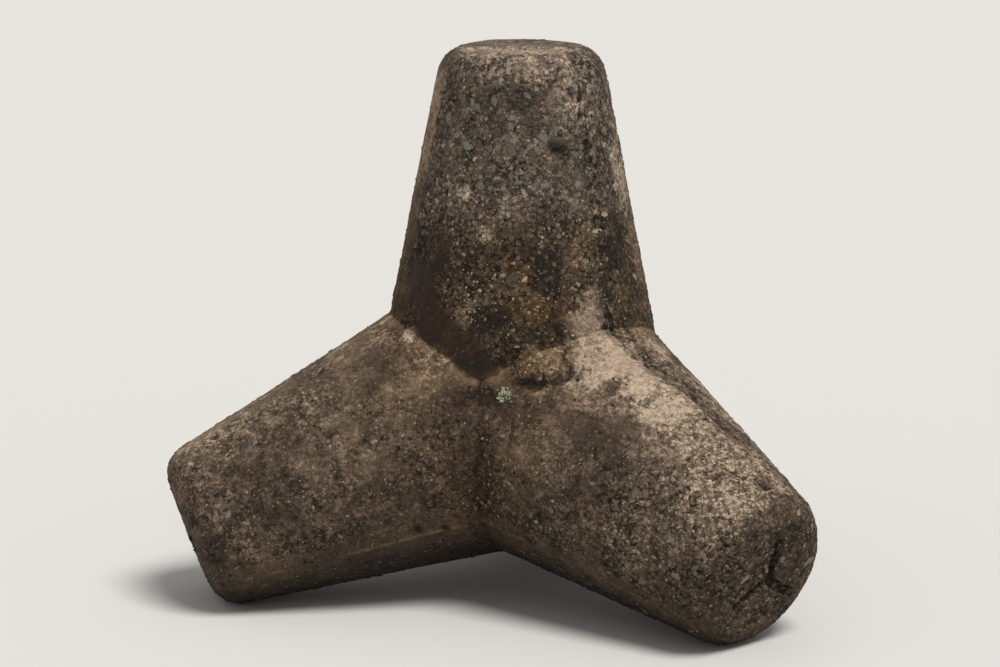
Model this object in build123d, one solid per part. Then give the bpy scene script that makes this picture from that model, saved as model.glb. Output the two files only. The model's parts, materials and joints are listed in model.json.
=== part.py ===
from build123d import *
from math import acos, atan, cos, degrees, pi, sin
import os

# Sea-defence tetrapod, cast in one piece: one leg stands upright and three legs slope down as feet.
# Frame: millimetres, +Z up along the upright leg, origin at the hub centre where the four leg axes cross.
# The front is -Y, with one foot to the left, one to the right and one behind.

# Driving dimensions in millimetres
leg_reach = 925.0  # hub centre to the flat end of every leg
end_diameter = 404.0  # leg diameter at its end, before the edge is rounded
root_diameter = 672.0  # leg diameter at the root circle
root_distance = 240.0  # hub centre to the root circle
end_edge_radius = 80.0  # rounding of the edge round each flat end
crease_radius = 14.0  # rounding of the valleys between the legs
fin_width = 12.0  # raised joint line left where two mould shells met
fin_height = 4.0
fin_run_out = 70.0  # length over which a joint line wears away before the rounded end
groove_width = 26.0  # Y-shaped groove in the end of each foot, where three shells met
groove_depth = 18.0
groove_length = 116.0  # centre of the end to the tip of each arm of the Y

# Layout in degrees
first_foot_bearing = 75.0  # bearing of the rear foot, counted from +X
leg_angle = degrees(acos(-1 / 3))  # angle between any two legs of a regular tetrapod
foot_bearings = [first_foot_bearing + 120 * k for k in range(3)]

# Sizes that follow from the driving dimensions
end_radius = end_diameter / 2
root_radius = root_diameter / 2
taper = (root_radius - end_radius) / (leg_reach - root_distance)  # radius lost for each millimetre of leg
taper_angle = atan(taper)
centre_radius = root_radius + taper * root_distance  # the cone carried on to the hub centre
flat_radius = end_radius + taper * end_edge_radius - end_edge_radius / cos(taper_angle)
cone_end = leg_reach - end_edge_radius * (1 - sin(taper_angle))  # where the cone meets the rounded edge


def cone_radius(distance):
    """Leg radius at a distance from the hub centre along the leg's axis."""
    return centre_radius - taper * distance


def turned_leg():
    """One tapered leg along +Z, turned from half of its outline, with its end edge rounded."""
    middle_turn = (pi / 2 + taper_angle) / 2
    tangent = (cone_radius(cone_end), cone_end)
    middle = (
        flat_radius + end_edge_radius * cos(middle_turn),
        leg_reach - end_edge_radius * (1 - sin(middle_turn)),
    )
    side = Line((centre_radius, 0), tangent)
    edge = ThreePointArc(tangent, middle, (flat_radius, leg_reach))
    axis = Polyline((flat_radius, leg_reach), (0, leg_reach), (0, 0), (centre_radius, 0))
    return revolve(Plane.XZ * make_face(side + edge + axis), Axis.Z)


def mitred_leg():
    """A turned leg cut back to the three planes halfway to the other legs, so that the four just meet."""
    leg = turned_leg()
    for k in range(3):
        other_leg = Vector(0, 0, 1).rotate(Axis.Y, leg_angle).rotate(Axis.Z, 120 * k)
        halfway = Plane((0, 0, 0), z_dir=Vector(0, 0, 1) - other_leg)
        leg = split(leg, halfway, keep=Keep.TOP)
    return leg


def joint_fin():
    """Thin plate that stands out of a leg's +X side as one raised joint line."""
    full_height_end = cone_end - fin_run_out
    outline = Polyline(
        (0, 0),
        (cone_radius(0) + fin_height, 0),
        (cone_radius(full_height_end) + fin_height, full_height_end),
        (cone_radius(cone_end), cone_end),
        (0, cone_end),
        close=True,
    )
    return extrude(Plane.XZ * make_face(outline), fin_width / 2, both=True)


def end_groove():
    """Y-shaped groove in the end of a foot, its arms in line with the joint lines."""
    arm = Pos(groove_length / 2, 0) * SlotCenterToCenter(groove_length - groove_width, groove_width)
    arms = Sketch() + [Rot(0, 0, 120 * k) * arm for k in range(3)] + Circle(groove_width / 2)
    return extrude(Pos(0, 0, leg_reach) * arms, -groove_depth)


def on_leg(shape, leg):
    """Turn a shape made on a leg along +Z onto leg 0, the upright, or onto feet 1 to 3.

    The +X side of the shape faces the first foot on the upright, and upwards on a foot.
    """
    if leg == 0:
        return Rot(0, 0, foot_bearings[0]) * shape
    return Rot(0, 0, foot_bearings[leg - 1]) * Rot(0, leg_angle, 0) * Rot(0, 0, 180) * shape


def is_crease(edge):
    """The valleys between the legs are the edges that are neither circles nor straight lines."""
    return edge.geom_type not in (GeomType.CIRCLE, GeomType.LINE)


def tetrapod():
    """The whole casting: four legs, rounded valleys, joint lines between legs and the grooved feet."""
    upright, *feet = [on_leg(mitred_leg(), leg) for leg in range(4)]
    casting = upright.fuse(*feet)
    casting = fillet(casting.edges().filter_by(is_crease), crease_radius)
    fins = [on_leg(Rot(0, 0, 120 * k) * joint_fin(), leg) for leg in range(4) for k in range(3)]
    casting = casting.fuse(*fins)
    for foot in (1, 2, 3):
        casting = casting - on_leg(end_groove(), foot)
    return casting


os.makedirs("parts", exist_ok=True)
casting = tetrapod()
export_step(casting, "parts/tetrapod.step")
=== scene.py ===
import json
import math

import bmesh
import bpy
import numpy as np
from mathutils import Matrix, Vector, noise

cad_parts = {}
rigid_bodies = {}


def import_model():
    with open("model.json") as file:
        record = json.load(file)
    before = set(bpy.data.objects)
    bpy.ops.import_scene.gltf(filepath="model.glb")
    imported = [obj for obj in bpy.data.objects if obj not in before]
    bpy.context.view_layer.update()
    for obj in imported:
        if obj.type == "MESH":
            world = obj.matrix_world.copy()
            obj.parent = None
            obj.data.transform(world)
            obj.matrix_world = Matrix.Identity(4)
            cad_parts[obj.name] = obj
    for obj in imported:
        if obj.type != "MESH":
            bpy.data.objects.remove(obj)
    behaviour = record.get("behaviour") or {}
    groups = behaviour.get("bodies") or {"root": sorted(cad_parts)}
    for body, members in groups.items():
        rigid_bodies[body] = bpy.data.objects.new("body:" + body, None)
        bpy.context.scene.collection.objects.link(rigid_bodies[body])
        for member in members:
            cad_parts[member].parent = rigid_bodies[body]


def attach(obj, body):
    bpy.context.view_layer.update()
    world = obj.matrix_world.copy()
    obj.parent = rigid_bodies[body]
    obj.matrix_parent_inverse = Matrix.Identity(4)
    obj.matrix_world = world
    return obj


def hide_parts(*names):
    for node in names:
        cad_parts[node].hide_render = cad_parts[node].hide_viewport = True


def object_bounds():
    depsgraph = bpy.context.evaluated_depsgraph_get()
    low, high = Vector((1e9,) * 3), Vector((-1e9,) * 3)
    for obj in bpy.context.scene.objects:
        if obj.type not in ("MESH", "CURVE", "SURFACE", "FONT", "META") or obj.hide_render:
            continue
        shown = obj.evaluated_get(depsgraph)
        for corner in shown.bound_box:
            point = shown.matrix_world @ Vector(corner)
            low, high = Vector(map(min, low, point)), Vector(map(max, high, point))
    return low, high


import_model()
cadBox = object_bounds()
print("frame: the packed casting is loaded")


# Small helpers for fields of numbers over the surface

def blendStep(value, low, high):
    share = np.clip((value - low) / (high - low), 0.0, 1.0)
    return share * share * (3.0 - 2.0 * share)


def fadeStep(value, low, high):
    return 1 - blendStep(value, low, high)


def cloud(points, size, seed, octaves=1):
    shift = Vector((seed * 7.13, seed * 3.71, seed * 5.37))
    total = np.zeros(len(points))
    for octave in range(octaves):
        scale = 2.0 ** octave / size
        layer = [noise.noise(Vector(point) * scale + shift) for point in points]
        total += np.array(layer) * 0.55 ** octave
    return total


def most(*shares):
    return np.maximum.reduce(shares)


def lengths(vectors):
    return np.linalg.norm(vectors, axis=1)


def unit(vectors):
    return vectors / np.linalg.norm(vectors, axis=-1, keepdims=True)


# The body: four tapered legs that meet halfway, with rounded ends. Metres and degrees.

casting = {
    "legReach": 0.925,  # hub centre to the flat end of a leg
    "endDiameter": 0.404,
    "rootDiameter": 0.672,
    "rootDistance": 0.24,
    "endEdgeRadius": 0.08,
    "rearFootBearing": 75.0,
    "halfColumns": 37,  # mesh columns from a joint line to the line halfway to the next
    "sideRows": 78,
    "edgeRows": 12,
    "endRows": 15,
    "columnSteps": (0.55, 0.25, 1.71),  # mesh steps: the first, how each grows and the widest
    "rowSteps": (0.6, 0.07, 1.0),
    "valleyLift": 0.0014,  # fills the valleys as their rounding does
}
legNames = ["upright", "rear", "left", "right"]
sectorTurn = 120.0  # each leg meets three others

legReach = casting["legReach"]
endRadius = casting["endDiameter"] / 2
rootRadius = casting["rootDiameter"] / 2
taper = (rootRadius - endRadius) / (legReach - casting["rootDistance"])
taperAngle = math.atan(taper)
centreRadius = rootRadius + taper * casting["rootDistance"]
edgeRadius = casting["endEdgeRadius"]
flatRadius = endRadius + taper * edgeRadius - edgeRadius / math.cos(taperAngle)
coneEnd = legReach - edgeRadius * (1 - math.sin(taperAngle))


def legFrames():
    bearing = math.radians(casting["rearFootBearing"])
    lean = math.acos(-1 / 3)
    side = np.array([math.cos(bearing), math.sin(bearing), 0.0])
    frames = [np.array([side, np.cross([0.0, 0.0, 1.0], side), [0.0, 0.0, 1.0]])]
    for foot in range(3):
        turn = bearing + foot * 2 * math.pi / 3
        along = np.array([math.sin(lean) * math.cos(turn), math.sin(lean) * math.sin(turn), math.cos(lean)])
        crest = unit(np.array([0.0, 0.0, 1.0]) - along * along[2])
        frames.append(np.array([crest, np.cross(along, crest), along]))
    return frames


frames = legFrames()


def growingSteps(count, first, growth, widest):
    return np.clip(first + growth * np.arange(count), None, widest)


def columnTurns():
    steps = growingSteps(casting["halfColumns"], *casting["columnSteps"])
    half = np.concatenate([[0.0], np.cumsum(steps) * (sectorTurn / 2) / steps.sum()])
    return np.concatenate([-half[::-1], half[1:-1]])


def legGrid(leg):
    turns = columnTurns()
    fromSeam = np.tile(turns, 3)
    sector = np.repeat(np.arange(3), len(turns))
    angle = np.radians(sectorTurn * sector + fromSeam)
    meeting = math.sqrt(0.5) * np.cos(np.radians(fromSeam))
    start = meeting * centreRadius / (1 + meeting * taper)  # where the halfway planes cut the leg
    rowSteps = growingSteps(casting["sideRows"], *casting["rowSteps"])
    share = np.concatenate([[0.0], np.cumsum(rowSteps) / rowSteps.sum()])
    sideAlong = start + share[:, None] * (coneEnd - start)
    sideRadius = centreRadius - taper * sideAlong
    edgeTurn = np.linspace(taperAngle, math.pi / 2, casting["edgeRows"] + 1)[1:]
    edgeAlong = legReach - edgeRadius * (1 - np.sin(edgeTurn))
    edgeReach = flatRadius + edgeRadius * np.cos(edgeTurn)
    endReach = flatRadius * (1 - np.arange(1, casting["endRows"] + 1) / (casting["endRows"] + 1))
    ones = np.ones(len(angle))
    endAlong = np.full((len(endReach), len(angle)), legReach)
    along = np.concatenate([sideAlong, edgeAlong[:, None] * ones, endAlong])
    radius = np.concatenate([sideRadius, edgeReach[:, None] * ones, endReach[:, None] * ones])
    away = along - start
    endTurn = np.full(len(endReach), math.pi / 2)
    tip = np.concatenate([np.full(len(sideAlong), taperAngle), edgeTurn, endTurn])
    x, y, z = frames[leg]
    radial = np.cos(angle)[:, None] * x + np.sin(angle)[:, None] * y
    places = radius[..., None] * radial + along[..., None] * z
    normals = np.cos(tip)[:, None, None] * radial + np.sin(tip)[:, None, None] * z
    rows = len(tip)
    return {
        "places": places.reshape(-1, 3),
        "normals": normals.reshape(-1, 3),
        "along": along.ravel(),
        "away": away.ravel(),
        "radius": radius.ravel(),
        "across": (radius * np.radians(fromSeam)).ravel(),
        "sector": np.tile(sector, rows),
        "rows": rows,
        "columns": len(angle),
    }


def seamNumber(name, towards):
    return 4 * legNames.index(name) + legNames.index(towards)


def seamPartner(leg, sector):
    x, y, z = frames[leg]
    angle = math.radians(sectorTurn * sector)
    direction = math.cos(angle) * x + math.sin(angle) * y
    others = [other for other in range(4) if other != leg]
    return max(others, key=lambda other: float(direction @ frames[other][2]))


def bodySurface():
    gridKeys = ("places", "normals", "along", "away", "radius", "across")
    parts = {key: [] for key in (*gridKeys, "seam", "leg")}
    faces = []
    base = 0
    for leg in range(4):
        grid = legGrid(leg)
        rows, columns = grid["rows"], grid["columns"]
        for key in gridKeys:
            parts[key].append(grid[key])
        partners = np.array([seamPartner(leg, sector) for sector in range(3)])
        parts["seam"].append(4 * leg + partners[grid["sector"]])
        parts["leg"].append(np.full(rows * columns, leg))
        index = base + np.arange(rows * columns).reshape(rows, columns)
        turned = np.roll(index, -1, axis=1)
        quads = np.stack([index[:-1], turned[:-1], turned[1:], index[1:]], axis=-1).reshape(-1, 4)
        faces.extend(quads.tolist())
        centre = base + rows * columns
        faces.extend([[a, b, centre] for a, b in zip(index[-1].tolist(), turned[-1].tolist())])
        tip = {
            "places": legReach * frames[leg][2], "normals": frames[leg][2], "along": legReach, "away": 1.0,
            "radius": 0.0, "across": 0.0, "seam": 4 * leg + partners[0], "leg": leg,
        }
        for key, value in tip.items():
            parts[key].append(np.array([value]))
        base = centre + 1
    surface = {key: np.concatenate(value) for key, value in parts.items()}
    surface["valley"] = np.zeros(base)
    # the first row of each leg is shared with its neighbours
    perLeg = base // 4
    columns = 6 * casting["halfColumns"]
    rim = np.concatenate([perLeg * leg + np.arange(columns) for leg in range(4)])
    gap = np.linalg.norm(surface["places"][rim][:, None] - surface["places"][rim][None], axis=2)
    together = gap < 1e-5
    owner = np.arange(base)
    owner[rim] = rim[np.argmax(together, axis=1)]
    shared = together.astype(float) @ surface["normals"][rim]
    surface["normals"][rim] = unit(shared)
    surface["valley"][rim] = 1.0
    used = np.unique(owner)
    renumber = np.zeros(base, int)
    renumber[used] = np.arange(len(used))
    faces = [[int(renumber[owner[corner]]) for corner in face] for face in faces]
    surface = {key: value[used] for key, value in surface.items()}
    return surface, faces


surface, bodyFaces = bodySurface()
print("body: grid of", len(surface["places"]), "points and", len(bodyFaces), "faces")


# How the sea has worn it, with painted shade and light

wear = {
    "broadWave": 0.002,
    "fineWave": 0.0013,
    "grit": 0.0009,
    "grooveWidth": 0.026,
    "grooveDepth": 0.017,
    "grooveLength": 0.116,
    "bandWidth": 0.045,  # half width of the smooth mortar strip beside a joint line
    "bandLift": 0.0006,
    "lineDepth": 0.001,  # along a joint line that has worn away
    "lineHoles": 0.01,
    "pits": 260,
    "pitRadius": (0.009, 0.019),
    "chips": 46,
    "chipSize": (0.014, 0.036),
    "limits": (-0.022, 0.0095),  # deepest and highest place of the worn surface
    "seed": 7,
}
# joint lines by leg and the leg they run towards: ridge height, smooth strip width, wear
seamLook = {
    ("upright", "left"): (0.0028, 1.45, 0.0),
    ("upright", "right"): (0.0, 0.0, 1.0),
    ("upright", "rear"): (0.0036, 1.1, 0.15),
    ("rear", "upright"): (0.004, 1.0, 0.0),
    ("rear", "left"): (0.0035, 0.9, 0.1),
    ("rear", "right"): (0.003, 1.0, 0.35),
    ("left", "upright"): (0.0024, 0.6, 0.2),
    ("left", "rear"): (0.0036, 1.0, 0.1),
    ("left", "right"): (0.003, 0.8, 0.2),
    ("right", "upright"): (0.0, 0.0, 0.0),
    ("right", "rear"): (0.0036, 1.1, 0.1),
    ("right", "left"): (0.0028, 0.8, 0.3),
}
# each patch: its centre and its half sizes along x, y and z in millimetres, and its strength
patches = {
    "bleach": [
        (235, -364, 171, 110, 120, 60, 1.0),
        (178, -323, 215, 58, 90, 45, 0.85),
        (160, -385, 150, 125, 120, 90, 0.5),
        (175, -280, 264, 52, 80, 76, 1.02),
        (343, -222, 187, 70, 70, 50, 0.86),
        (346, -550, 10, 90, 90, 50, 0.48),
        (-46, -362, 145, 30, 50, 14, 0.42),
        (300, -405, 130, 75, 90, 45, 0.95),
        (365, -455, 78, 80, 90, 45, 1.0),
        (440, -530, 30, 90, 130, 55, 0.6),
        (540, -640, -40, 80, 110, 45, 0.3),
        (-278, -211, 215, 24, 50, 22, 0.52),
        (-134, -234, 578, 26, 50, 30, 0.62),
        (-48, -270, 552, 22, 50, 32, 0.5),
        (-81, -277, 481, 26, 50, 34, 0.42),
        (-134, -297, 289, 34, 50, 36, 0.34),
        (40, -190, 890, 220, 120, 50, 0.44),
        (30, -150, 908, 200, 100, 34, 0.6),
        (262, -75, 610, 54, 100, 150, 0.6),
        (300, -50, 430, 48, 90, 120, 0.44),
        (60, -415, 110, 80, 60, 30, 0.3),
        (150, -150, 800, 80, 100, 110, 0.42),
        (70, -352, 186, 60, 60, 20, 0.5),
        (-150, -220, 560, 70, 90, 90, 0.28),
        (-222, -295, 165, 70, 90, 50, 0.3),
        (60, 420, 150, 110, 100, 60, 0.8),
        (130, 560, 60, 90, 120, 60, 0.6),
        (-520, -60, 50, 130, 90, 70, 0.5),
        (-100, 260, 700, 80, 100, 120, 0.35),
    ],
    "stain": [
        (-246, -208, 330, 42, 160, 90, 1.0),
        (-200, -270, 225, 70, 160, 70, 1.0),
        (-130, -310, 185, 80, 120, 55, 1.0),
    ],
    "damp": [
        # in the hollow at the front valley: painted shade
        (-100, -339, 163, 55, 70, 32, 1.0),
        (-75, -370, 85, 50, 70, 34, 0.6),
        # low on the left foot by the valley: damp, and painted shade of rocks in front of the block
        (-158, -350, 80, 60, 60, 50, 0.62),
        (170, -450, 85, 110, 90, 50, 0.34),
        (240, -505, 42, 120, 100, 55, 0.46),
        (310, -560, -10, 120, 100, 55, 0.42),
        (80, -330, 255, 100, 80, 45, 0.45),
        (330, 140, 180, 120, 120, 100, 0.8),
        (-270, 270, 160, 120, 120, 110, 0.9),
    ],
    "black": [
        (76, -291, 400, 50, 80, 80, 0.8),
        (40, -300, 440, 45, 80, 40, 0.55),
        (-60, -316, 275, 60, 80, 45, 0.75),
        (20, -325, 235, 90, 80, 30, 0.34),
        (243, -176, 430, 34, 120, 110, 0.75),
        (215, -210, 310, 34, 120, 80, 0.65),
        (-19, -283, 500, 50, 70, 40, 0.45),
        (3, -225, 808, 85, 80, 55, 0.62),
        (30, -235, 755, 60, 80, 35, 0.5),
        # in the hollow at the front valley: painted shade
        (-100, -339, 163, 55, 80, 30, 0.7),
        (-105, -215, 740, 60, 80, 50, 0.3),
        (-190, -230, 430, 26, 80, 85, 0.6),
        (395, -350, 118, 70, 60, 40, 0.4),
        (0, 280, 420, 70, 80, 120, 0.7),
        (-240, 130, 500, 70, 100, 110, 0.6),
        (250, 120, 560, 60, 100, 100, 0.5),
    ],
    "ochre": [
        (4, -310, 365, 46, 70, 65, 0.62),
        (40, -321, 300, 90, 70, 50, 0.66),
        (-60, -300, 360, 70, 70, 80, 0.34),
        (305, -40, 380, 22, 120, 160, 0.6),
        (65, -365, 178, 95, 60, 36, 0.95),
        (-50, -362, 142, 42, 50, 20, 1.1),
        (66, -416, 106, 85, 70, 45, 0.32),
        (-318, -105, 247, 50, 100, 18, 0.55),
        (-204, -279, 192, 80, 90, 12, 0.4),
        (-120, 300, 330, 80, 100, 130, 0.45),
        (280, 20, 420, 50, 100, 130, 0.4),
    ],
    "smooth": [
        (-91, -339, 150, 60, 70, 40, 1.0),
        (225, -360, 178, 85, 100, 42, 0.75),
        (170, -450, 85, 110, 90, 50, 0.6),
        (240, -505, 42, 120, 100, 55, 0.6),
        (310, -560, -10, 110, 100, 50, 0.5),
        (-330, -230, 175, 60, 100, 30, 0.5),
    ],
    "speckle": [
        (186, -270, 278, 56, 80, 84, 0.8),
        (346, -470, 80, 110, 90, 60, 0.75),
        (-125, -298, 300, 46, 50, 50, 0.85),
        (30, -315, 330, 70, 50, 60, 0.4),
        (440, -560, 0, 130, 120, 80, 0.7),
        (346, -558, 6, 100, 100, 60, 0.5),
        (375, -260, 160, 130, 130, 80, 0.6),
        (480, -380, 66, 120, 120, 70, 0.5),
        (40, -170, 895, 200, 120, 40, 0.45),
        (-160, 150, 880, 180, 140, 60, 0.4),
        (150, 560, 60, 110, 120, 70, 0.6),
        (-560, -100, 30, 120, 110, 70, 0.45),
    ],
    "lichen": [
        (-30, -384, 101, 21, 40, 17, 0.74),
        (-12, -388, 88, 10, 40, 9, 0.62),
        (-44, -380, 112, 10, 40, 6, 0.6),
        (-229, -228, 306, 10, 30, 5, 0.25),
        (231, -107, 657, 6, 30, 10, 1.0),
    ],
}


# a dark pebble that the worn skin has left standing out, with a shaded hollow under it
pebble = {
    "place": (0.096, -0.225, 0.708),
    "halfLength": 0.021,
    "halfHeight": 0.013,
    "halfDepth": 0.0125,
    "sunk": 0.0028,
    "lump": 0.0024,
    "colour": (66, 58, 52),
    "shade": {"place": (0.098, -0.231, 0.687), "size": (0.028, 0.03, 0.013), "depth": 0.005},
}
# the split between the ledge and the bleached crest beside it
notch = {
    "line": [
        (0.099, -0.319, 0.251), (0.112, -0.328, 0.219),
        (0.12, -0.361, 0.182), (0.134, -0.38, 0.164),
    ],
    "halfWidth": 0.0105,
    "depth": 0.0085,
}
# a lump of badly packed concrete under the valley at the front, with a dark lip below it: an undercut
# darkened with painted shade
ledgeForm = {
    "place": (0.058, -0.372, 0.16),
    "size": (0.104, 0.075, 0.058),
    "lift": 0.0085,
    "crumble": 0.005,
    "lipHeight": 0.14,
    "underDepth": 0.015,
}
# a worn channel down the right foot's crest, its left bank higher; across counts to the left
crestForm = {
    "along": [0.22, 0.39, 0.52, 0.75],
    "across": [0.012, 0.003, -0.04, -0.06],
    "width": 0.013,
    "depth": 0.0075,
    "holes": 0.008,
    "bankLift": 0.0034,
    "sideDepth": 0.0012,
}
# the trowelled skin on the upright's end: its edge, the step down from it, and its slight crown
skinForm = {"edge": 0.045, "slope": 0.05, "lipLift": 0.0012, "step": 0.005, "bulge": 0.0006}
hollowForm = {"place": (-0.088, -0.338, 0.156), "size": (0.062, 0.06, 0.036), "depth": 0.005}
fillForm = {"place": (0.185, -0.295, 0.238), "size": (0.06, 0.06, 0.04), "lift": 0.005}
crackForm = {"start": -0.073, "top": 0.106, "lean": 1.1, "depth": 0.0022}


def patchShare(places, kind, ragged):
    total = np.zeros(len(places))
    for patch in patches[kind]:
        centre, size = np.array(patch[:3]) / 1000, np.array(patch[3:6]) / 1000
        reach = lengths((places - centre) / size)
        total = np.maximum(total, patch[6] * fadeStep(reach + ragged, 0.45, 1.3))
    return total


def patchNear(places, form, ragged):
    reach = lengths((places - form["place"]) / form["size"])
    return fadeStep(reach + ragged, 0.55, 1.1)


def jointLines(surface, ragged, onSide):
    places, across, seam = surface["places"], surface["across"], surface["seam"]
    ridge, band, wornLine = (np.zeros(len(places)) for _ in range(3))
    wander = 0.0012 * cloud(places, 0.1, 4)
    for (name, towards), (height, width, worn) in seamLook.items():
        here = seam == seamNumber(name, towards)
        offset = np.abs(across[here] - wander[here])
        broken = blendStep(cloud(places[here], 0.09, 5, 2), -0.45 + 0.5 * worn, 0.15 + 0.5 * worn)
        ridge[here] = height * (0.25 + 0.75 * broken) * fadeStep(offset, 0.002, 0.0072)
        if width > 0:
            edge = wear["bandWidth"] * width * (1 + 0.8 * ragged[here])
            inside = fadeStep(np.abs(across[here]), 0.7 * edge, 1.2 * edge + 0.002)
            band[here] = inside * (1 - 0.6 * worn)
        else:
            side = np.abs(across[here]) * (1 + 0.6 * ragged[here])
            wornLine[here] = worn * fadeStep(side, 0.01, 0.038)
    return ridge * onSide, band, wornLine * onSide


def crestChannel(surface, ragged):
    along, across = surface["along"], surface["across"]
    onCrest = (surface["seam"] == seamNumber("right", "upright")) * blendStep(along, 0.215, 0.25)
    onCrest = onCrest * fadeStep(along, 0.6, 0.78)
    middle = np.interp(along, crestForm["along"], crestForm["across"])
    offset = across - middle - 0.006 * ragged
    channel = onCrest * np.exp(-(offset / crestForm["width"]) ** 2)
    bank = onCrest * blendStep(offset, -0.004, 0.01) * fadeStep(offset, 0.035, 0.09)
    rightSide = onCrest * blendStep(-offset, 0.004, 0.02) * fadeStep(-offset, 0.06, 0.11)
    return channel, bank, rightSide


def honeycombLedge(surface, ragged, crumb):
    places = surface["places"]
    near = patchNear(places, ledgeForm, 0.4 * ragged)
    lip = places[:, 2] - (ledgeForm["lipHeight"] + 0.2 * (places[:, 0] - 0.03))
    lip = lip - 0.014 * ragged - 0.008 * crumb
    above = near * blendStep(lip, -0.004, 0.003)
    under = np.clip(1.8 * near, 0, 1) * fadeStep(np.abs(lip + 0.015), 0.009, 0.018)
    return above, under


def notchShare(places, ragged):
    nearest = np.full(len(places), np.inf)
    for first, last in zip(notch["line"][:-1], notch["line"][1:]):
        start, run = np.array(first), np.array(last) - np.array(first)
        part = np.clip((places - start) @ run / (run @ run), 0, 1)
        nearest = np.minimum(nearest, lengths(places - start - part[:, None] * run))
    return fadeStep(nearest + 0.003 * ragged, 0.35 * notch["halfWidth"], notch["halfWidth"])


def endGrooves(surface):
    onEnd = (surface["leg"] > 0) & (surface["along"] > legReach - 0.001)
    arm = fadeStep(np.abs(surface["across"]), 0.42 * wear["grooveWidth"], 0.6 * wear["grooveWidth"])
    reach = fadeStep(surface["radius"], wear["grooveLength"] - 0.01, wear["grooveLength"] + 0.004)
    return onEnd * np.maximum(arm * reach, surface["radius"] < 0.6 * wear["grooveWidth"])


def pitsAndChips(surface, blocked, ragged):
    places, normals, along = surface["places"], surface["normals"], surface["along"]
    random = np.random.default_rng(wear["seed"])
    tangent = unit(np.cross(normals, np.array([0.31, 0.17, 0.93])))
    second = np.cross(normals, tangent)
    depth, hollow, chipped = (np.zeros(len(places)) for _ in range(3))
    for index in random.choice(len(places), wear["pits"], replace=False):
        longRadius = random.uniform(*wear["pitRadius"])
        shortRadius = longRadius * random.uniform(0.45, 0.9)
        turn = random.uniform(0, math.pi)
        if blocked[index] > 0.6:
            continue
        away = places - places[index]
        first = away @ (math.cos(turn) * tangent[index] + math.sin(turn) * second[index]) / longRadius
        other = away @ (math.cos(turn) * second[index] - math.sin(turn) * tangent[index]) / shortRadius
        deep = away @ normals[index] / 0.03
        bowl = fadeStep(np.sqrt(first ** 2 + other ** 2 + deep ** 2) + 0.3 * ragged, 0.3, 1.0)
        depth += bowl * random.uniform(0.35, 0.6) * shortRadius
        hollow = np.maximum(hollow, bowl)
    rims = np.flatnonzero((along > coneEnd - 0.01) & (along < legReach - 0.006))
    for index in random.choice(rims, wear["chips"], replace=False):
        size = random.uniform(*wear["chipSize"])
        reachOut = lengths(places - places[index]) * (1 + 0.35 * ragged)
        bowl = fadeStep(reachOut, 0.35 * size, size)
        depth += bowl * size * random.uniform(0.1, 0.2)
        chipped = np.maximum(chipped, bowl)
    return depth, hollow, chipped


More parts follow.
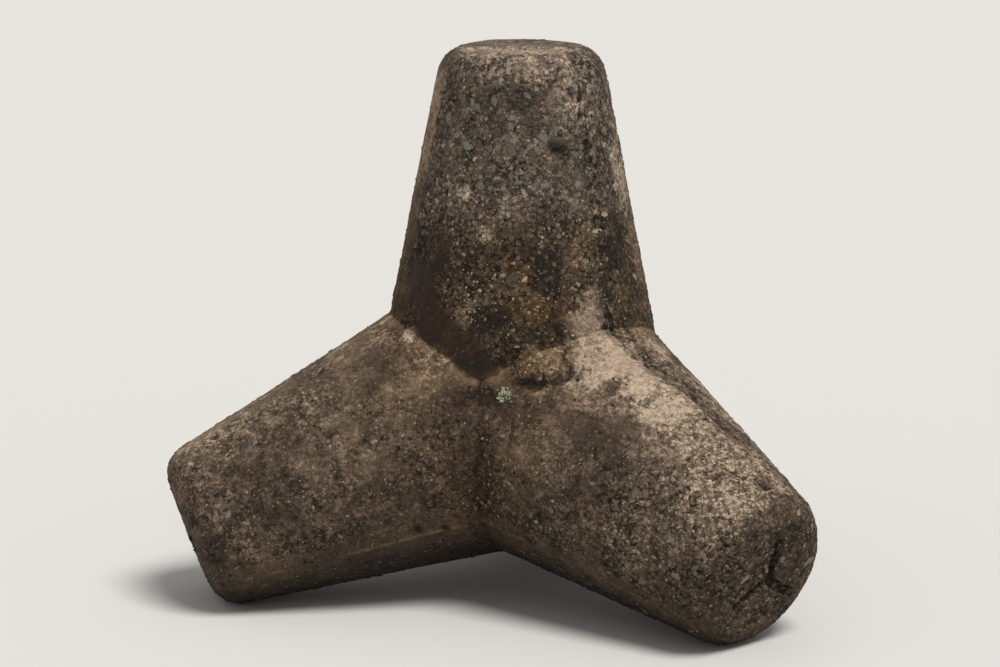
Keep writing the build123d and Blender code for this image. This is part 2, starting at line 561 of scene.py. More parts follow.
def layFeatures(surface):
    places, normals, along = surface["places"], surface["normals"], surface["along"]
    leg, radius, away = surface["leg"], surface["radius"], surface["away"]
    crumb = cloud(places, 0.02, 8, 2)
    ragged = 0.5 * cloud(places, 0.055, 1, 3) + 0.25 * crumb
    wide = cloud(places, 0.3, 2, 2)
    middle = cloud(places, 0.085, 3, 2)
    onSide = fadeStep(along, coneEnd - 0.03, coneEnd + 0.02)
    endFace = blendStep(along, legReach - 0.01, legReach - 0.001)

    ridge, band, wornLine = jointLines(surface, ragged, onSide)
    band = band * (1 - endFace)
    channel, bank, rightSide = crestChannel(surface, ragged)
    ledge, under = honeycombLedge(surface, ragged, crumb)
    hollow = patchNear(places, hollowForm, 0.4 * ragged)
    fill = patchNear(places, fillForm, 0.3 * ragged)
    smoothPatch = patchShare(places, "smooth", 0.7 * ragged)
    smoothPatch = np.maximum(smoothPatch, patchShare(places, "stain", 0.7 * ragged) * (leg == 0))
    crown = endFace * (leg == 0)
    skinEdge = places[:, 1] + skinForm["edge"] + skinForm["slope"] * places[:, 0] + 0.014 * ragged
    wornCrown = crown * fadeStep(skinEdge, -0.004, 0.003)
    crownLip = crown * np.exp(-((skinEdge - 0.001) / 0.007) ** 2)

    worn = np.array([0.66, 0.5, 0.32, 0.44])[leg] + 0.32 * (leg == 3) * blendStep(along, 0.45, 0.72)
    exposed = np.clip(worn + 0.55 * middle + 0.35 * wide, 0.12, 1.0)
    exposed = exposed * (1 - 0.85 * band) * (1 - 0.9 * smoothPatch)
    exposed = exposed * (1 - crown) + 0.1 * crown
    exposed = most(exposed, 0.62 * wornCrown, wornLine, channel, 0.8 * rightSide, ledge)
    exposed *= 1 - 0.9 * hollow
    shade = patchNear(places, pebble["shade"], 0.2 * ragged)
    exposed *= 1 - shade

    holes = np.clip(crumb, 0, None)
    raised = wear["broadWave"] * wide + wear["fineWave"] * middle
    raised += wear["grit"] * exposed * (cloud(places, 0.026, 6) + 0.9 * cloud(places, 0.014, 7) - 0.8)
    raised += ridge + wear["bandLift"] * band
    raised -= wornLine * (wear["lineDepth"] + wear["lineHoles"] * holes)
    raised += crown * skinForm["bulge"] * (1 - (radius / flatRadius) ** 2)
    raised += skinForm["lipLift"] * crownLip - wornCrown * (skinForm["step"] + 0.0016 * middle)
    raised += crestForm["bankLift"] * bank - channel * (crestForm["depth"] + crestForm["holes"] * holes)
    raised -= crestForm["sideDepth"] * rightSide
    raised += ledge * (ledgeForm["lift"] + ledgeForm["crumble"] * cloud(places, 0.022, 9, 2))
    raised -= under * ledgeForm["underDepth"]
    raised += fill * fillForm["lift"] - hollow * hollowForm["depth"]
    crackRun = crackForm["lean"] * (crackForm["top"] - places[:, 2])
    crackLine = np.abs(places[:, 0] - crackForm["start"] - crackRun - 0.006 * ragged)
    crack = fadeStep(crackLine, 0.0015, 0.006) * (places[:, 1] < -0.3)
    crack = crack * (places[:, 2] > 0.085) * (places[:, 2] < 0.125)
    raised -= crackForm["depth"] * crack
    split = notchShare(places, ragged)
    raised -= notch["depth"] * split + pebble["shade"]["depth"] * shade
    groove = endGrooves(surface)
    raised -= groove * (wear["grooveDepth"] + 0.002 * middle)
    blocked = most(smoothPatch, endFace, ledge, bank)
    pitDepth, pits, chipped = pitsAndChips(surface, blocked, ragged)
    exposed = np.maximum(exposed, 0.9 * chipped)
    raised -= pitDepth
    raised += surface["valley"] * casting["valleyLift"]
    raised = np.clip(raised, *wear["limits"])

    # painted shade darkens the pits, the grooves, the worn and channel holes, the undercut, the crack, the
    # split and the hollow under the pebble
    wornHoles = wornLine * blendStep(holes, 0.1, 0.45)
    channelHoles = channel * blendStep(holes + 0.4 * ragged, -0.1, 0.3)
    cavity = most(pits, 0.55 * groove, wornHoles, channelHoles, under, crack, split, shade)

    # shares that the finishes read
    up, height = normals[:, 2], places[:, 2]
    onFoot = (leg > 0).astype(float)
    nearValley = np.exp(-((along - 0.235) / 0.085) ** 2)
    # the tops of the feet are lighter: sun bleaching, and painted light from above
    topOfFoot = onFoot * blendStep(up, 0.3, 0.85) * np.clip(0.25 + 0.7 * wide + 0.5 * middle, 0, 0.55)
    topOfFoot *= np.array([0.0, 1.0, 0.55, 1.0])[leg]
    upBand = band * (leg == 0) * blendStep(height, 0.4, 0.56) * fadeStep(height, 0.85, 0.91)
    # lighter where sun and salt have bleached the skin, with painted light from above on the foot tops and
    # the upright's flat top
    bleach = most(
        patchShare(places, "bleach", ragged) * (1 - 0.45 * rightSide),
        topOfFoot * (1 - 0.5 * rightSide),
        0.3 * crown * (1 - wornCrown),
        0.68 * wornCrown,
        upBand * (0.32 + 0.26 * blendStep(height, 0.58, 0.74) + 0.25 * middle),
    )
    # darker where damp, with painted shade on the feet's undersides and near the valleys
    damp = most(
        patchShare(places, "damp", 0.6 * ragged),
        patchShare(places, "stain", 0.6 * ragged) * (leg == 0),
        0.75 * blendStep(-up, 0.35, 0.95) * onFoot,
        0.5 * nearValley * blendStep(wide + 0.4 * middle, -0.1, 0.5) * (1 - bleach),
    )
    # dark growth, with painted shade on the feet's undersides and in the worn channel
    black = most(
        patchShare(places, "black", ragged),
        0.6 * onFoot * blendStep(-up + 0.3 * wide, 0.3, 0.9),
        0.6 * channel,
    )
    ochre = most(
        patchShare(places, "ochre", ragged),
        0.42 * nearValley * blendStep(middle - 0.3 * wide, 0.05, 0.55),
        0.3 * (1 - onFoot) * fadeStep(height, 0.25, 0.62),
        0.56 * upBand,
    )
    tone = 0.425 + 0.1 * wide
    towardsUpright = (surface["seam"] % 4 == 0) * onFoot
    # painted shade along the crease where the legs meet and in the valleys beside it, where dirt also
    # gathers; a painted highlight on the foot side of the crease towards the upright
    tone -= 0.1 * np.exp(-(away / 0.006) ** 2)
    tone -= 0.12 * np.exp(-(away / 0.05) ** 2) * (1 - towardsUpright)
    tone += 0.06 * np.exp(-((away - 0.014) / 0.012) ** 2) * towardsUpright
    # darker towards the bottom: damp, and painted shade where neighbouring blocks hide the sky
    tone -= 0.15 * (1 - onFoot) * fadeStep(height, 0.18, 0.78)
    tone += onFoot * (0.05 - 0.12 * blendStep(-height, -0.05, 0.35)) + 0.03 * crown
    fresh = (1 - onFoot) * blendStep(height, 0.42, 0.6)
    grey = np.maximum(fresh, 0.5 * onFoot * blendStep(along, 0.24, 0.44))
    return raised, {
        "exposed": exposed,
        "bleach": bleach,
        "damp": damp,
        "black": black,
        "ochre": ochre,
        "cavity": cavity,
        "band": np.maximum(band, smoothPatch),
        "tone": tone,
        "fresh": fresh,
        "grey": grey,
        "pale": np.maximum(0.6 * blendStep(ridge, 0.0006, 0.002), 1.1 * crownLip),
        "lichen": patchShare(places, "lichen", 1.0 * ragged),
        "speckle": patchShare(places, "speckle", ragged),
    }


lift, shares = layFeatures(surface)
bodyPlaces = surface["places"] + surface["normals"] * lift[:, None]
print("body: worn by", round(float(lift.min()) * 1000, 1), "to", round(float(lift.max()) * 1000, 1), "mm")


def newObject(name, data):
    made = bpy.data.objects.new(name, data)
    bpy.context.scene.collection.objects.link(made)
    return made


def newPiece(name, places, faces):
    mesh = bpy.data.meshes.new(name)
    mesh.from_pydata(places.tolist(), [], faces)
    mesh.update()
    return newObject(name, mesh)


def smoothFaces(piece):
    piece.data.polygons.foreach_set("use_smooth", [True] * len(piece.data.polygons))


def paint(piece, values):
    for name, value in values.items():
        attribute = piece.data.attributes.new(name, "FLOAT", "POINT")
        attribute.data.foreach_set("value", value.astype(np.float32))


def paintTint(piece, tints):
    attribute = piece.data.attributes.new("stoneTint", "FLOAT_COLOR", "POINT")
    rows = np.concatenate([tints, np.ones((len(tints), 1))], axis=1)
    attribute.data.foreach_set("color", rows.astype(np.float32).ravel())


concreteBody = newPiece("concreteBody", bodyPlaces, bodyFaces)
paint(concreteBody, shares)
smoothFaces(concreteBody)
print("body: piece made")


# Crushed stone standing out of the worn skin

aggregate = {
    "count": 11400,
    "typicalSize": 0.0115,
    "sizeSpread": 0.38,
    "smallest": 0.006,
    "largest": 0.026,
    "standOut": 0.0013,
    "slope": 0.14,
    "flatAbove": 0.009,  # stones longer than this lie flatter
    "seed": 23,
    "corners": (4, 5, 6),
    "cornerShares": (0.15, 0.45, 0.4),
    "freshTeal": 0.9,  # share of the teal stones that stay clean high on the upright
    "wornTeal": 0.25,
}
# share of stones and sRGB colour; the teal ones are fourth and fifth
stoneColours = [
    (0.26, (86, 75, 64)),
    (0.2, (68, 61, 55)),
    (0.18, (106, 94, 80)),
    (0.12, (99, 102, 94)),
    (0.04, (124, 126, 115)),
    (0.05, (56, 54, 52)),
    (0.1, (156, 140, 118)),
    (0.05, (116, 97, 84)),
]
# stones that the photograph shows one by one: place, size and stand-out in millimetres, sRGB colour
placedStones = [
    (98, -207, 786, 33, 1.6, (116, 123, 112)),
    (112, -203, 764, 30, 1.4, (106, 112, 102)),
    (124, -200, 748, 22, 1.4, (112, 117, 106)),
    (60, -234, 716, 34, 1.6, (108, 106, 96)),
    (98, -222, 738, 24, 1.4, (104, 108, 98)),
    (-20, -230, 774, 30, 1.4, (110, 115, 105)),
    (-134, -208, 693, 36, 1.6, (114, 120, 109)),
    (136, -209, 680, 28, 1.4, (98, 101, 93)),
    (-60, -215, 812, 24, 1.4, (106, 110, 101)),
    (-110, -205, 790, 28, 1.4, (98, 102, 94)),
    (-124, -198, 806, 22, 1.4, (120, 122, 110)),
    (30, -240, 696, 26, 1.4, (118, 108, 95)),
    (-95, -235, 600, 30, 1.4, (100, 104, 96)),
    (-20, -245, 690, 32, 1.4, (88, 90, 84)),
    (190, -150, 690, 26, 1.4, (104, 108, 99)),
    (231, -107, 657, 17, 2.0, (196, 190, 178)),
]
placedForms = np.array([stone[:5] for stone in placedStones]) / 1000
placed = len(placedStones)


def linear(colour):
    return tuple(((c / 255 + 0.055) / 1.055) ** 2.4 if c > 10 else c / 255 / 12.92 for c in colour)


def stoneSeats(places, faces, values):
    random = np.random.default_rng(aggregate["seed"])
    quads = np.array([face for face in faces if len(face) == 4])
    corners = places[quads]
    cross = np.cross(corners[:, 2] - corners[:, 0], corners[:, 3] - corners[:, 1])
    wanted = lengths(cross) * (0.04 + np.clip(values["exposed"][quads].mean(1), 0, 1) ** 1.5)
    wanted *= 1 - 0.85 * values["band"][quads].mean(1)
    wanted *= 1 - 0.7 * np.clip(values["cavity"][quads].mean(1), 0, 1)
    onSkin = places[quads, 2].mean(1) > legReach - 0.006
    wanted *= 1 - 0.9 * onSkin  # few on the trowelled skin
    chosen = random.choice(len(quads), aggregate["count"], replace=False, p=wanted / wanted.sum())
    middles = corners.mean(1)
    chosen[:placed] = [np.argmin(lengths(middles - form[:3])) for form in placedForms]
    weights = random.dirichlet((2, 2, 2, 2), len(chosen))
    seats = (corners[chosen] * weights[..., None]).sum(1)
    local = {name: (value[quads[chosen]] * weights).sum(1) for name, value in values.items()}
    return seats, unit(cross[chosen]), local


def stoneTints(total, local, random):
    steps = np.cumsum([share for share, _ in stoneColours])
    pick = np.searchsorted(steps, random.random(total), side="right")
    pick = np.clip(pick, 0, len(stoneColours) - 1)
    clean = aggregate["wornTeal"] + (aggregate["freshTeal"] - aggregate["wornTeal"]) * local["fresh"]
    coated = ((pick == 3) | (pick == 4)) & (random.random(total) > clean)
    pick[coated] = random.integers(0, 3, coated.sum())
    palette = np.array([linear(colour) for _, colour in stoneColours])
    tint = palette[pick] * random.uniform(0.72, 1.25, (total, 1))
    tint[:placed] = [linear(stone[5]) for stone in placedStones]
    return tint


def bakeSpots(turns, mine, perRow):
    # each stone has its own square of the map: top and sides spread out as rings, its hidden base small
    count, corners = turns.shape
    ring = np.stack([np.cos(turns), np.sin(turns)], axis=-1)
    outer, inner, base = 0.42 + 0.4 * ring, 0.42 + 0.25 * ring, 0.91 + 0.06 * ring
    after = np.roll(np.arange(corners), -1)
    sides = np.stack([inner, outer, outer[:, after], inner[:, after]], axis=2).reshape(count, -1, 2)
    spots = np.concatenate([inner, base[:, ::-1], sides], axis=1)
    square = np.stack([mine % perRow, mine // perRow], axis=-1)
    return ((spots + square[:, None]) / perRow).reshape(-1, 2)


def stoneMeshes(seats, normals, local):
    random = np.random.default_rng(aggregate["seed"] + 1)
    total = len(seats)
    size = aggregate["typicalSize"] * np.exp(aggregate["sizeSpread"] * random.standard_normal(total))
    size = np.clip(size, aggregate["smallest"], aggregate["largest"])
    size *= 0.75 + 0.4 * np.clip(local["exposed"], 0, 1)
    size[:placed] = placedForms[:, 3]
    standOut = aggregate["standOut"] * random.uniform(0.2, 1.3, total) * (size / 0.012) ** 0.3
    standOut[:placed] = placedForms[:, 4]
    kinds = random.choice(aggregate["corners"], total, p=aggregate["cornerShares"])
    kinds[:placed] = np.resize([4, 5, 4, 5, 6], placed)
    first = unit(np.cross(normals, unit(random.standard_normal((total, 3)))))
    second = np.cross(normals, first)
    tint = stoneTints(total, local, random)
    perRow = math.ceil(math.sqrt(total))
    allPlaces, allFaces, allOwners, allSpots = [], [], [], []
    base = 0
    for corners in aggregate["corners"]:
        mine = np.flatnonzero(kinds == corners)
        count = len(mine)
        turns = (np.arange(corners) + random.uniform(-0.36, 0.36, (count, corners))) * 2 * math.pi / corners
        spread = random.uniform(0.66, 1.15, (count, corners)) * size[mine, None] / 2
        stretch = np.where(mine[:, None] < placed, 1.2, random.uniform(1.0, 1.55, (count, 1)))
        ringX = spread * np.cos(turns) * stretch
        ringY = spread * np.sin(turns) / np.sqrt(stretch)
        flatter = np.minimum(1, aggregate["flatAbove"] / size[mine, None])
        slope = random.uniform(-aggregate["slope"], aggregate["slope"], (count, 2)) * flatter
        shrink = random.uniform(0.7, 0.94, (count, corners))
        topZ = standOut[mine, None] + slope[:, :1] * ringX + slope[:, 1:] * ringY
        topZ = topZ + random.uniform(-0.0003, 0.0003, (count, corners))
        lowZ = np.broadcast_to(-0.35 * size[mine, None], ringX.shape)
        top = np.stack([ringX * shrink, ringY * shrink, topZ], axis=-1)
        low = np.stack([ringX * 1.08, ringY * 1.08, lowZ], axis=-1)
        basis = np.stack([first[mine], second[mine], normals[mine]], axis=1)
        places = seats[mine][:, None] + np.einsum("ncv,nvx->ncx", np.concatenate([top, low], axis=1), basis)
        allPlaces.append(places.reshape(-1, 3))
        allOwners.append(np.repeat(mine, 2 * corners))
        allSpots.append(bakeSpots(turns, mine, perRow))
        pattern = [list(range(corners)), list(range(2 * corners - 1, corners - 1, -1))]
        for corner in range(corners):
            after = (corner + 1) % corners
            pattern.append([corner, corners + corner, corners + after, after])
        for number in range(count):
            start = base + number * 2 * corners
            allFaces.extend([[start + corner for corner in face] for face in pattern])
        base += count * 2 * corners
    return np.concatenate(allPlaces), allFaces, np.concatenate(allOwners), tint, np.concatenate(allSpots)


seats, seatNormals, seatShares = stoneSeats(bodyPlaces, bodyFaces, shares)
stonePlaces, stoneFaces, stoneOwners, stoneTint, stoneSpots = stoneMeshes(seats, seatNormals, seatShares)
exposedStones = newPiece("exposedStones", stonePlaces, stoneFaces)
stoneFilm = np.random.default_rng(aggregate["seed"] + 2).uniform(0.18, 1.0, len(seats))
seatShares["film"] = stoneFilm * (0.95 - 0.4 * seatShares["fresh"])
seatShares["film"][:placed] = 0.24
paint(exposedStones, {name: value[stoneOwners] for name, value in seatShares.items()})
paintTint(exposedStones, stoneTint[stoneOwners])
bakeMap = exposedStones.data.uv_layers.new(name="OFBake")
bakeMap.data.foreach_set("uv", stoneSpots.astype(np.float32).ravel())
print("stones:", len(seats), "seated,", len(stoneFaces), "faces")


def pebblePiece():
    nearest = np.argmin(lengths(bodyPlaces - pebble["place"]))
    outward = surface["normals"][nearest]
    sideways = unit(np.cross(np.array([0.1, 0.0, 1.0]), outward))
    upward = np.cross(outward, sideways)
    ball = bmesh.new()
    bmesh.ops.create_icosphere(ball, subdivisions=4, radius=1.0)
    mesh = bpy.data.meshes.new("darkPebble")
    ball.to_mesh(mesh)
    ball.free()
    ways = np.array([vertex.co for vertex in mesh.vertices])
    sizes = np.array([pebble["halfLength"], pebble["halfHeight"], pebble["halfDepth"]])
    local = np.sign(ways) * np.abs(ways) ** 0.88 * sizes
    local += ways * (pebble["lump"] * cloud(local, 0.02, 31, 2))[:, None]
    middle = bodyPlaces[nearest] - pebble["sunk"] * outward
    places = middle + local @ np.stack([sideways, upward, outward])
    mesh.vertices.foreach_set("co", places.astype(np.float32).ravel())
    piece = newObject("darkPebble", mesh)
    smoothFaces(piece)
    values = {name: np.full(len(places), value[nearest]) for name, value in shares.items()}
    values["bleach"][:] = 0.0
    values["black"][:] = 0.0
    # more film towards the top: painted light on the pebble's top
    values["film"] = np.clip(0.1 + 0.45 * ways[:, 1], 0.0, 0.5)
    paint(piece, values)
    paintTint(piece, np.tile(linear(pebble["colour"]), (len(places), 1)))
    return piece


darkPebble = pebblePiece()
print("pebble: set into the upright")


# Shaders

class Wire:
    # one output socket, or a sum of them, that plain Python maths can be done on
    def __init__(self, finish, socket):
        self.finish = finish
        self.socket = socket

    def maths(self, operation, first, second):
        return self.finish.node("Math", {"operation": operation}, {0: first, 1: second})

    def __add__(self, other):
        return self.maths("ADD", self, other)

    def __radd__(self, other):
        return self.maths("ADD", other, self)

    def __sub__(self, other):
        return self.maths("SUBTRACT", self, other)

    def __rsub__(self, other):
        return self.maths("SUBTRACT", other, self)

    def __mul__(self, other):
        return self.maths("MULTIPLY", self, other)

    def __rmul__(self, other):
        return self.maths("MULTIPLY", other, self)

    def most(self, other):
        return self.maths("MAXIMUM", self, other)

    def beside(self, output):
        return Wire(self.finish, self.socket.node.outputs[output])


class Finish:
    # the nodes of one material, or of the world
    def __init__(self, owner):
        owner.use_nodes = True
        self.owner = owner
        self.tree = owner.node_tree
        self.tree.nodes.clear()

    def node(self, kind, settings=None, values=None, output=0):
        made = self.tree.nodes.new("ShaderNode" + kind)
        for name, value in (settings or {}).items():
            if name == "stops":
                self.setStops(made.color_ramp, value)
            else:
                setattr(made, name, value)
        for key, value in (values or {}).items():
            if isinstance(value, Wire):
                self.tree.links.new(value.socket, made.inputs[key])
            else:
                made.inputs[key].default_value = value
        return Wire(self, made.outputs[output]) if len(made.outputs) else None

    def setStops(self, ramp, stops):
        while len(ramp.elements) > 1:
            ramp.elements.remove(ramp.elements[-1])
        ramp.elements[0].position = stops[0][0]
        ramp.elements[0].color = (*linear(stops[0][1]), 1.0)
        for place, colour in stops[1:]:
            ramp.elements.new(place).color = (*linear(colour), 1.0)

    def share(self, name):
        return self.node("Attribute", {"attribute_name": name}, output="Fac")

    def vector(self, operation, values):
        return self.node("VectorMath", {"operation": operation}, values)

    def grain(self, point, size, detail=2.0, roughness=0.55, seed=0.0):
        values = {"Vector": point, "W": seed, "Scale": 1 / size, "Detail": detail, "Roughness": roughness}
        return self.node("TexNoise", {"noise_dimensions": "4D"}, values)

    def ruffle(self, point, size, amount):
        # moves each place a little, so that the grains have ragged edges
        values = {"Vector": point, "Scale": 1 / size, "Detail": 2.0}
        swirl = self.node("TexNoise", {"noise_dimensions": "3D"}, values, "Color")
        centred = self.vector("SUBTRACT", {0: swirl, 1: (0.5, 0.5, 0.5)})
        moved = self.vector("SCALE", {0: centred, "Scale": amount})
        return self.vector("ADD", {0: point, 1: moved})

    def grains(self, point, size):
        # three numbers of its own for each grain, and how far a place is from the grain's middle
        values = {"Vector": point, "Scale": 1 / size, "Randomness": 1.0}
        cell = self.node("TexVoronoi", {"feature": "F1"}, values, "Color")
        first = self.node("SeparateColor", {}, {0: cell}, 0)
        return first, first.beside(1), first.beside(2), cell.beside("Distance")

    def ease(self, value, low, high, start=0.0, end=1.0):
        values = {"Value": value, "From Min": low, "From Max": high, "To Min": start, "To Max": end}
        return self.node("MapRange", {"interpolation_type": "SMOOTHSTEP", "clamp": True}, values)

    def mix(self, factor, first, second, blend="MIX"):
        settings = {"data_type": "RGBA", "blend_type": blend, "clamp_factor": True}
        return self.node("Mix", settings, {0: factor, 6: first, 7: second}, 2)

skin = {
    "toneStops": [
        (0.0, (22, 17, 13)),
        (0.2, (45, 37, 31)),
        (0.4, (75, 64, 55)),
        (0.6, (109, 95, 82)),
        (0.8, (151, 134, 116)),
        (1.0, (198, 182, 160)),
    ],
    "ochre": (104, 77, 42),
    "brownFilm": (255, 242, 219),
    "pinkTan": (171, 148, 128),
    "black": (20, 17, 14),
    "dampAndShadeBrown": (42, 28, 20),
    # colour of the painted shade in recesses
    "cavity": (19, 15, 12),
    "lichen": (184, 193, 166),
    "lichenDark": (102, 113, 88),
    "paleGrainAndGlint": (186, 172, 148),
    "stoneVein": (40, 35, 30),
    "streak": (1.0, 1.0, 0.12),
    "wideCloud": 0.16,  # sizes of the clouds and grains in metres
    "mottle": 0.045,
    "crumb": 0.017,
    "sand": 0.003,
    "midGrain": 0.0086,
    "fineGrain": 0.0043,
    "smallStone": 0.015,
    "airHole": 0.03,
    "relief": 0.0052,  # height of the bump
    "covers": (0.42, 0.42, 0.56, 0.8, 0.85),  # how strongly pink with painted top light, ochre, damp with painted shade, black with painted shade, and lichen cover
    "stoneStops": [
        (0.0, (54, 49, 46)),
        (0.28, (84, 75, 66)),
        (0.44, (104, 107, 98)),
        (0.6, (92, 80, 70)),
        (0.8, (120, 103, 88)),
        (0.93, (172, 156, 132)),
        (1.0, (130, 104, 92)),
    ],
}


def ink(name):
    return (*linear(skin[name]), 1.0)


def groundColour(f, point):
    wide = f.grain(point, skin["wideCloud"], 4.0, 0.6, 1.0)
    mottle = f.grain(point, skin["mottle"], 5.0, 0.65, 2.0)
    crumb = f.grain(point, skin["crumb"], 3.0, 0.6, 5.0)
    sand = f.grain(point, skin["sand"], 2.0, 0.6, 4.0)
    tall = f.vector("MULTIPLY", {0: point, 1: skin["streak"]})
    streak = f.grain(tall, 0.011, 3.0, 0.6, 6.0)
    ragged = f.ruffle(point, 0.007, 0.006)
    midTone, midPick, _, midAway = f.grains(ragged, skin["midGrain"])
    fineTone, finePick, fineHue, fineAway = f.grains(ragged, skin["fineGrain"])
    exposed = f.share("exposed")
    band = f.share("band")
    rough = exposed * (1.0 - band * 0.85)
    loose = (crumb - 0.5) * 0.9 + (midTone - 0.5) * 0.4 + (fineTone - 0.5) * 0.16
    bleach = f.ease(f.share("bleach") + (mottle - 0.5) * 0.6 + loose * 0.75, 0.12, 0.98)
    damp = f.ease(f.share("damp") + (mottle - 0.5) * 0.6 + (crumb - 0.5) * 0.3, 0.18, 0.8)
    black = f.ease(f.share("black") + (mottle - 0.5) * 0.9 + loose, 0.26, 0.88)
    ochre = f.ease(f.share("ochre") + (mottle - 0.5) * 0.8 + loose, 0.14, 0.9)
    lichen = f.ease(f.share("lichen") + (fineTone - 0.5) * 0.7 + (crumb - 0.5) * 1.6, 0.56, 0.78)
    tone = f.share("tone") + (wide - 0.5) * 0.6 + (mottle - 0.5) * (0.9 - band * 0.6)
    tone = tone + (crumb - 0.5) * (0.3 + rough * 0.4) + (sand - 0.5) * 0.6
    tone = tone + (midTone - 0.5) * (0.05 + rough * 0.3) + (fineTone - 0.5) * (0.1 + rough * 0.22)
    # painted shade in the gaps between grains
    gapShade = f.ease(midAway, 0.42, 0.78) * 0.17 + f.ease(fineAway, 0.45, 0.8) * 0.1
    speckle = f.share("speckle") * f.ease(mottle + (crumb - 0.5) * 0.8, 0.3, 0.55, 0.35, 1.0)
    tone = tone - gapShade * (rough + speckle * 0.5) + (streak - 0.5) * (0.34 * band + 0.46 * damp)
    tone = tone + bleach * (0.36 + (fineTone - 0.5) * 0.16 + (midTone - 0.5) * 0.12)
    tone = tone - damp * 0.14 + f.share("pale") * 0.22
    colour = f.node("ValToRGB", {"stops": skin["toneStops"]}, {"Fac": tone})
    browner = f.mix(1.0, colour, ink("brownFilm"), "MULTIPLY")
    colour = f.mix((1.0 - f.share("grey")) * (1.0 - bleach * 0.8), colour, browner)
    lichenColour = f.mix(fineHue, ink("lichen"), ink("lichenDark"))
    inks = (ink("pinkTan"), ink("ochre"), ink("dampAndShadeBrown"), ink("black"), lichenColour)
    for share, cover, over in zip((bleach, ochre, damp, black, lichen), skin["covers"], inks):
        colour = f.mix(share * cover, colour, over)
    return colour, {
        "mottle": mottle, "crumb": crumb, "sand": sand, "damp": damp, "bleach": bleach, "black": black,
        "midPick": midPick, "midAway": midAway, "finePick": finePick, "fineAway": fineAway,
        "rough": rough, "ragged": ragged, "speckle": speckle,
    }


def closeFinish(f, colour, roughness, normal):
    shader = f.node("BsdfPrincipled", {}, {
        "Base Color": colour, "Roughness": roughness, "Normal": normal, "Specular IOR Level": 0.16})
    f.node("OutputMaterial", {}, {"Surface": shader})
    return f.owner


def concreteFinish():
    f = Finish(bpy.data.materials.new("weatheredConcrete"))
    point = f.node("TexCoord", {}, {}, "Object")
    colour, parts = groundColour(f, point)
    rough, fresh = parts["rough"], f.share("fresh")
    # crushed stone too small to model
    pick, hue, _, away = f.grains(parts["ragged"], skin["smallStone"])
    isStone = f.ease(away, 0.5, 0.4) * f.ease(pick, 0.42, 0.5) * rough
    stoneColour = f.node("ValToRGB", {"stops": skin["stoneStops"]}, {"Fac": hue})
    stoneColour = f.mix(0.66 - fresh * 0.26, stoneColour, colour)
    colour = f.mix(isStone * 0.8, colour, stoneColour)
    # pale grains, with painted glints where wet grains catch the light
    speckle = parts["speckle"]
    finePick = parts["finePick"] + speckle * 0.26
    midPick = parts["midPick"] + speckle * 0.2
    grainAndGlint = f.ease(parts["fineAway"], 0.52, 0.38) * f.ease(finePick, 0.955, 0.975)
    largeGrainAndGlint = f.ease(parts["midAway"], 0.46, 0.34) * f.ease(midPick, 0.955, 0.965)
    grainAndGlint = grainAndGlint.most(largeGrainAndGlint)
    grainAndGlint = grainAndGlint * (0.3 + rough * 0.7) * (1.0 - parts["black"] * 0.5) * (1.0 - parts["damp"] * 0.6)
    colour = f.mix(grainAndGlint * (0.62 + speckle * 0.16), colour, ink("paleGrainAndGlint"))
    # air holes and gaps where a stone has dropped out, with painted shade in them and in the recesses
    holePick, _, _, holeAway = f.grains(parts["ragged"], skin["airHole"])
    isHole = f.ease(holeAway, 0.15, 0.09) * f.ease(holePick, 0.7, 0.76)
    isGap = f.ease(away, 0.36, 0.22) * f.ease(pick, 0.1, 0.07) * rough
    isHole = isHole.most(isGap * 0.85)
    holeAndCavityShade = (isHole * 0.9).most(f.share("cavity") * 0.88)
    colour = f.mix(holeAndCavityShade, colour, ink("cavity"))
    roughness = 0.88 - parts["damp"] * 0.22 - parts["black"] * 0.06 + (parts["sand"] - 0.5) * 0.1
    height = parts["crumb"] * (0.25 + rough * 0.6) + parts["sand"] * 0.16
    height = height + (1.0 - parts["midAway"]) * (0.05 + rough * 0.27)
    height = height + (1.0 - parts["fineAway"]) * rough * 0.13
    height = height + isStone * 0.34 + grainAndGlint * 0.2 - isHole * 0.9
    bump = {"Height": height, "Strength": 1.0, "Distance": skin["relief"]}
    normal = f.node("Bump", {}, bump, "Normal")
    return closeFinish(f, colour, roughness, normal)


def stoneFinish():
    f = Finish(bpy.data.materials.new("crushedStone"))
    point = f.node("TexCoord", {}, {}, "Object")
    ground, parts = groundColour(f, point)
    own = f.node("Attribute", {"attribute_name": "stoneTint"}, {}, "Color")
    vein = f.grain(point, 0.0045, 3.0, 0.6, 12.0)
    own = f.mix(f.ease(vein, 0.4, 0.68) * 0.6, own, f.mix(0.45, own, ink("stoneVein")))
    own = f.mix(f.ease(vein, 0.46, 0.3) * 0.35, own, f.mix(0.45, own, ink("paleGrainAndGlint")))
    # a film of concrete colour over the stones, which on the pebble also paints light on its top
    film = f.share("film") + (parts["mottle"] - 0.5) * 0.5 + (parts["crumb"] - 0.5) * 0.5
    film = film + parts["damp"] * 0.7 + parts["black"] * 0.7 + parts["bleach"] * 0.1
    colour = f.mix(film, own, ground)
    roughness = 0.8 - parts["damp"] * 0.18 + (vein - 0.5) * 0.12
    normal = f.node("Bump", {}, {"Height": vein, "Strength": 0.5, "Distance": 0.0015}, "Normal")
    return closeFinish(f, colour, roughness, normal)


concreteBody.data.materials.append(concreteFinish())
crushedStone = stoneFinish()
for piece in (exposedStones, darkPebble):
    piece.data.materials.append(crushedStone)
print("finishes: concrete and stone made")

for piece in (concreteBody, exposedStones, darkPebble):
    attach(piece, "root")
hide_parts("tetrapod")


# Studio: pale floor, soft light, camera at the photograph's angle

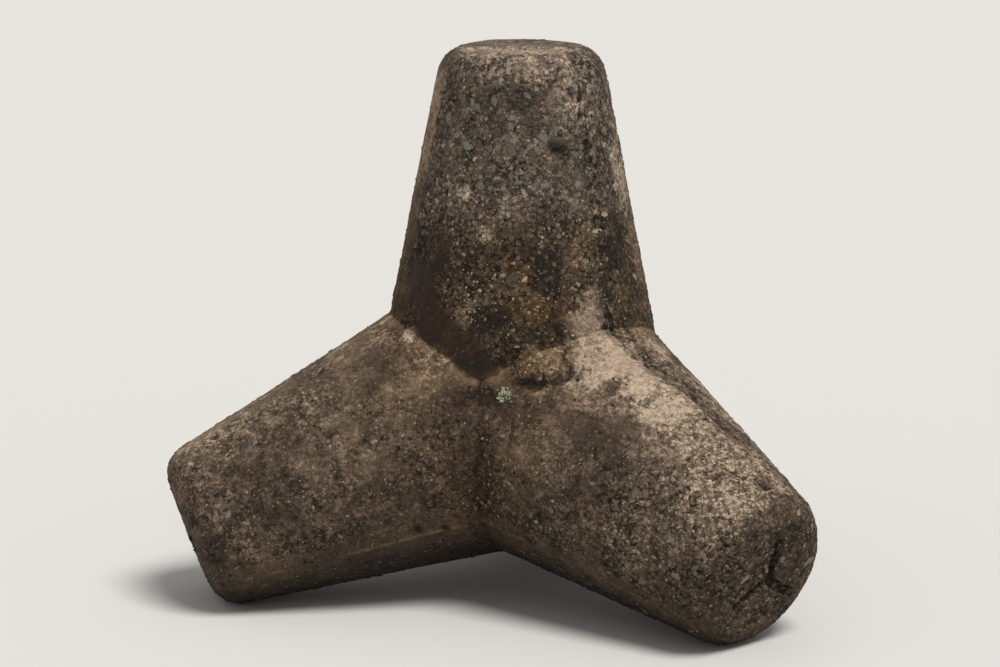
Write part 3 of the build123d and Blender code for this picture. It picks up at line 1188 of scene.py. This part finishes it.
studio = {
    "floorHalf": 60.0,
    "floorColour": (216, 214, 210),
    "skyStrength": 0.44,
    "skyColour": (1.0, 0.995, 0.985),
    "backgroundColour": (0.8, 0.79, 0.775),
    "keyStrength": 2.65,
    "keySoftness": 24.0,
    "keyColour": (1.0, 0.985, 0.96),
    "keyWay": (-0.3, 0.4, -0.87),
    "eye": (0.2196, -8.3867, 1.8907),
    "aim": (-0.055, 0.0, 0.175),
    "lens": 119.0,
}


def layFloor():
    low = cadBox[0][2]
    half = studio["floorHalf"]
    corners = np.array([[-half, -half, low], [half, -half, low], [half, half, low], [-half, half, low]])
    floor = newPiece("studioFloor", corners, [[0, 1, 2, 3]])
    f = Finish(bpy.data.materials.new("paleFloor"))
    shader = f.node("BsdfDiffuse", {}, {"Color": (*linear(studio["floorColour"]), 1.0)})
    f.node("OutputMaterial", {}, {"Surface": shader})
    floor.data.materials.append(f.owner)


def lightStudio():
    world = bpy.data.worlds.new("studioSky")
    bpy.context.scene.world = world
    f = Finish(world)
    names = ("Is Camera Ray", "Is Glossy Ray", "Is Transmission Ray")
    seen, shiny, clear = (f.node("LightPath", {}, {}, name) for name in names)
    light = {"Color": (*studio["skyColour"], 1.0), "Strength": studio["skyStrength"]}
    sky = f.node("Background", {}, light)
    pale = {"Color": (*studio["backgroundColour"], 1.0), "Strength": 1.0}
    backdrop = f.node("Background", {}, pale)
    both = f.node("MixShader", {}, {0: seen.most(shiny).most(clear), 1: sky, 2: backdrop})
    f.node("OutputWorld", {}, {"Surface": both})
    lamp = bpy.data.lights.new("keyLight", "SUN")
    lamp.energy = studio["keyStrength"]
    lamp.angle = math.radians(studio["keySoftness"])
    lamp.color = studio["keyColour"]
    key = newObject("keyLight", lamp)
    key.rotation_euler = Vector(studio["keyWay"]).to_track_quat("-Z", "Y").to_euler()


def setCamera():
    view = bpy.data.cameras.new("photographView")
    view.lens = studio["lens"]
    view.sensor_width = 36.0
    view.clip_end = 200.0
    camera = newObject("photographView", view)
    camera.location = studio["eye"]
    look = Vector(studio["aim"]) - Vector(studio["eye"])
    camera.rotation_euler = look.to_track_quat("-Z", "Y").to_euler()
    bpy.context.scene.camera = camera


layFloor()
lightStudio()
setCamera()
bpy.context.scene.view_settings.view_transform = "Standard"
print("studio: floor, light and camera set")

bpy.context.view_layer.update()
